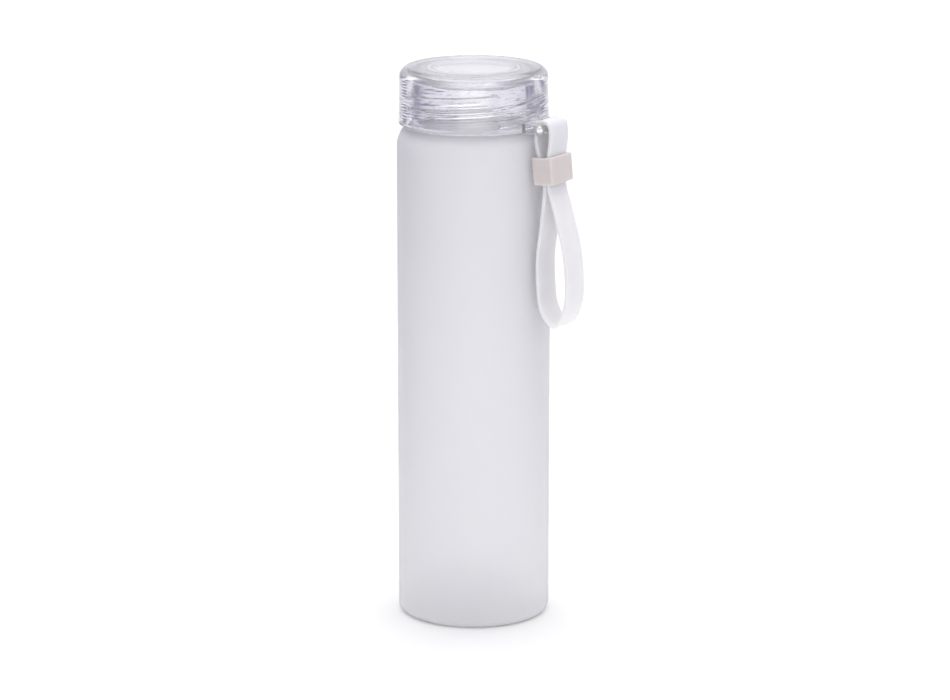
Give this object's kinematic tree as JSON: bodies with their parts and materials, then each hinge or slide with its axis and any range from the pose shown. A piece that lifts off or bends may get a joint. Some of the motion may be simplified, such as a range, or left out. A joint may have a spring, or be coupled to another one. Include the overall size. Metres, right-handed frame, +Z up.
{
  "type": "glass water bottle",
  "caption": "Tall cylindrical frosted glass water bottle with a clear screw cap, a sealing ring, and a silicone carry strap with a slider hung from the cap's eyelet.",
  "frame": {"origin": "centre of the flat ring that the bottle stands on", "axes": "+Z up along the bottle's axis; +X towards the cap's eyelet, so the strap hangs in the XZ plane"},
  "size_m": [0.0771, 0.06, 0.2195],
  "materials": {
    "frosted_glass": "frosted outside below the cap, clear at the neck",
    "clear_plastic": "clear, glossy moulded plastic",
    "seal_silicone": "translucent white, satin",
    "strap_silicone": "white, satin",
    "slider_silicone": "warm white, satin"
  },
  "bodies": {
    "bottle": {"glass_bottle": "frosted_glass"},
    "seal": {"cap_seal": "seal_silicone"},
    "cap": {"screw_cap": "clear_plastic"},
    "strap": {"carry_strap": "strap_silicone"},
    "slider": {"strap_slider": "slider_silicone"}
  },
  "joints": [
    {"name": "cap_lift", "type": "slide", "parent": "bottle", "child": "seal", "axis": [0, 0, 1], "range_m": [0, 0.0125]},
    {"name": "cap_turn", "type": "hinge", "parent": "seal", "child": "cap", "pos_m": [0, 0, 0.2], "axis": [0, 0, 1], "range_deg": [0, 450]},
    {"name": "strap_swing", "type": "hinge", "parent": "cap", "child": "strap", "pos_m": [0.0354, 0, 0.1992], "axis": [0, -1, 0], "range_deg": [-1.8, 180]},
    {"name": "slider_slide", "type": "slide", "parent": "strap", "child": "slider", "axis": [0.0924, 0, -0.9957], "range_m": [0, 0.006]}
  ],
  "couplings": [
    {"joint": "cap_lift", "follows": "cap_turn", "m_per_rad": 0.0015915}
  ]
}
